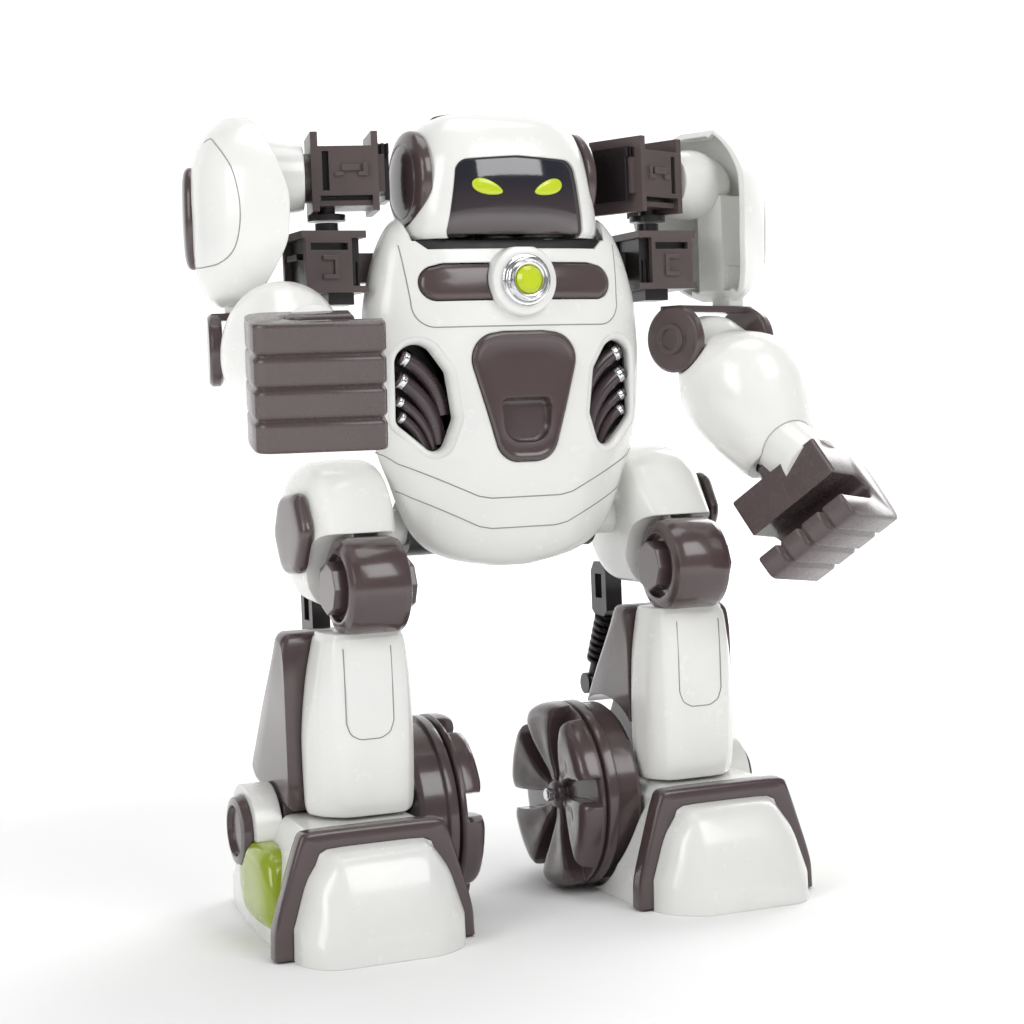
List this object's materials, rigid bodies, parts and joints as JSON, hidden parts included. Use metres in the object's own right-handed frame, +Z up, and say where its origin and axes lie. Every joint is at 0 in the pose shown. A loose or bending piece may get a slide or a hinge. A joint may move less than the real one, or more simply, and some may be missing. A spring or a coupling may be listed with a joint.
{
  "type": "walking toy robot",
  "caption": "Standing two-legged toy robot with servo shoulders, slotted gripping fists, hinged legs, wheel drums inside the legs and a sprung chest button.",
  "frame": {"origin": "on the floor, on the body's middle plane, straight below the hip axis", "axes": "+Z up, -Y the way the robot faces, +X the robot's own left"},
  "size_m": [0.2617, 0.1868, 0.3024],
  "materials": {
    "shell": "glossy moulded off-white",
    "trim": "glossy moulded brown-grey",
    "dark": "satin near-black",
    "lime": "translucent lime",
    "plate": "bright plated",
    "visor": "smoked gloss",
    "board": "solder mask green",
    "cell": "wrapped steel cell",
    "button": "lime"
  },
  "bodies": {
    "torso": {"torso_front_shell": "shell", "torso_back_shell": "shell", "chassis_frame": "dark", "chest_bar": "trim", "button_bezel": "plate", "belly_panel": "trim", "collar_tray": "dark", "vent_hoses": "dark", "battery_pack": "cell", "circuit_board": "board", "battery_cover": "shell", "body_screws": "plate", "lower_brackets": "trim", "lower_servos": "dark"},
    "button": {"chest_button": "button"},
    "head": {"head_shell": "shell", "visor": "visor", "eye_lenses": "lime", "head_trim": "trim", "neck_post": "trim"},
    "right_shoulder": {"right_upper_bracket": "trim", "right_arm_servo": "dark"},
    "right_upper_arm": {"right_shoulder_armour": "shell", "right_shoulder_cap": "trim", "right_elbow_fork": "trim"},
    "right_forearm": {"right_forearm_shell": "shell"},
    "right_hand": {"right_fist": "trim"},
    "right_thigh": {"right_thigh_shell": "shell", "right_hip_cap": "trim", "right_knee_pin": "trim"},
    "right_shin": {"right_knee_drum": "trim", "right_shin_shell": "shell", "right_shin_panels": "trim", "right_rear_strut": "dark", "right_wheel_housing": "trim"},
    "right_wheel": {"right_wheel_rotor": "trim"},
    "right_foot": {"right_foot_base": "shell", "right_foot_collar": "trim", "right_foot_lamp": "lime", "right_ankle_cap": "trim"},
    "left_shoulder": {"left_upper_bracket": "trim", "left_arm_servo": "dark"},
    "left_upper_arm": {"left_shoulder_armour": "shell", "left_shoulder_cap": "trim", "left_elbow_fork": "trim"},
    "left_forearm": {"left_forearm_shell": "shell"},
    "left_hand": {"left_fist": "trim"},
    "left_thigh": {"left_thigh_shell": "shell", "left_hip_cap": "trim", "left_knee_pin": "trim"},
    "left_shin": {"left_knee_drum": "trim", "left_shin_shell": "shell", "left_shin_panels": "trim", "left_rear_strut": "dark", "left_wheel_housing": "trim"},
    "left_wheel": {"left_wheel_rotor": "trim"},
    "left_foot": {"left_foot_base": "shell", "left_foot_collar": "trim", "left_foot_lamp": "lime", "left_ankle_cap": "trim"}
  },
  "joints": [
    {"name": "chest_button_press", "type": "slide", "parent": "torso", "child": "button", "axis": [0, 1, 0], "range_m": [0, 0.0012], "stiffness_N_per_m": 600, "springref_m": -0.0012},
    {"name": "head_turn", "type": "hinge", "parent": "torso", "child": "head", "pos_m": [0, -0.01, 0.25], "axis": [0, 0, 1], "range_deg": [-25, 25]},
    {"name": "right_shoulder_turn", "type": "hinge", "parent": "torso", "child": "right_shoulder", "pos_m": [-0.066, -0.008, 0.262], "axis": [0, 0, -1], "range_deg": [-14, 14]},
    {"name": "right_arm_swing", "type": "hinge", "parent": "right_shoulder", "child": "right_upper_arm", "pos_m": [-0.07327, -0.00837, 0.277], "axis": [-0.9744, 0.225, 0], "range_deg": [-8, 16]},
    {"name": "right_elbow", "type": "hinge", "parent": "right_upper_arm", "child": "right_forearm", "pos_m": [-0.08912, -0.01703, 0.215], "axis": [-0.9744, 0.225, 0], "range_deg": [-30, 2]},
    {"name": "right_wrist", "type": "hinge", "parent": "right_forearm", "child": "right_hand", "pos_m": [-0.09926, -0.06537, 0.20718], "axis": [-0.2222, -0.9624, -0.1564], "range_deg": [-60, 60]},
    {"name": "right_hip", "type": "hinge", "parent": "torso", "child": "right_thigh", "pos_m": [-0.04, 0, 0.147], "axis": [-1, 0, 0], "range_deg": [-6, 18]},
    {"name": "right_knee", "type": "hinge", "parent": "right_thigh", "child": "right_shin", "pos_m": [-0.064, -0.033, 0.1285], "axis": [1, 0, 0], "range_deg": [-6, 13]},
    {"name": "right_ankle", "type": "hinge", "parent": "right_shin", "child": "right_foot", "pos_m": [-0.09, 0.006, 0.0375], "axis": [1, 0, 0], "range_deg": [0, 10]},
    {"name": "right_wheel_spin", "type": "hinge", "parent": "right_shin", "child": "right_wheel", "pos_m": [-0.026, 0.006, 0.0375], "axis": [1, 0, 0], "continuous": true},
    {"name": "left_shoulder_turn", "type": "hinge", "parent": "torso", "child": "left_shoulder", "pos_m": [0.066, -0.008, 0.262], "axis": [0, 0, 1], "range_deg": [-8, 14]},
    {"name": "left_arm_swing", "type": "hinge", "parent": "left_shoulder", "child": "left_upper_arm", "pos_m": [0.07321, -0.00698, 0.277], "axis": [-0.9135, -0.4067, 0], "range_deg": [-4, 16]},
    {"name": "left_elbow", "type": "hinge", "parent": "left_upper_arm", "child": "left_forearm", "pos_m": [0.09042, -0.01245, 0.215], "axis": [-0.9135, -0.4067, 0], "range_deg": [-2, 36]},
    {"name": "left_wrist", "type": "hinge", "parent": "left_forearm", "child": "left_hand", "pos_m": [0.09901, -0.04157, 0.17507], "axis": [0.2448, -0.5498, -0.7986], "range_deg": [-60, 60]},
    {"name": "left_hip", "type": "hinge", "parent": "torso", "child": "left_thigh", "pos_m": [0.04, 0, 0.147], "axis": [-1, 0, 0], "range_deg": [-6, 18]},
    {"name": "left_knee", "type": "hinge", "parent": "left_thigh", "child": "left_shin", "pos_m": [0.064, -0.033, 0.1285], "axis": [1, 0, 0], "range_deg": [-6, 13]},
    {"name": "left_ankle", "type": "hinge", "parent": "left_shin", "child": "left_foot", "pos_m": [0.09, 0.006, 0.0375], "axis": [1, 0, 0], "range_deg": [0, 10]},
    {"name": "left_wheel_spin", "type": "hinge", "parent": "left_shin", "child": "left_wheel", "pos_m": [0.026, 0.006, 0.0375], "axis": [1, 0, 0], "continuous": true}
  ]
}
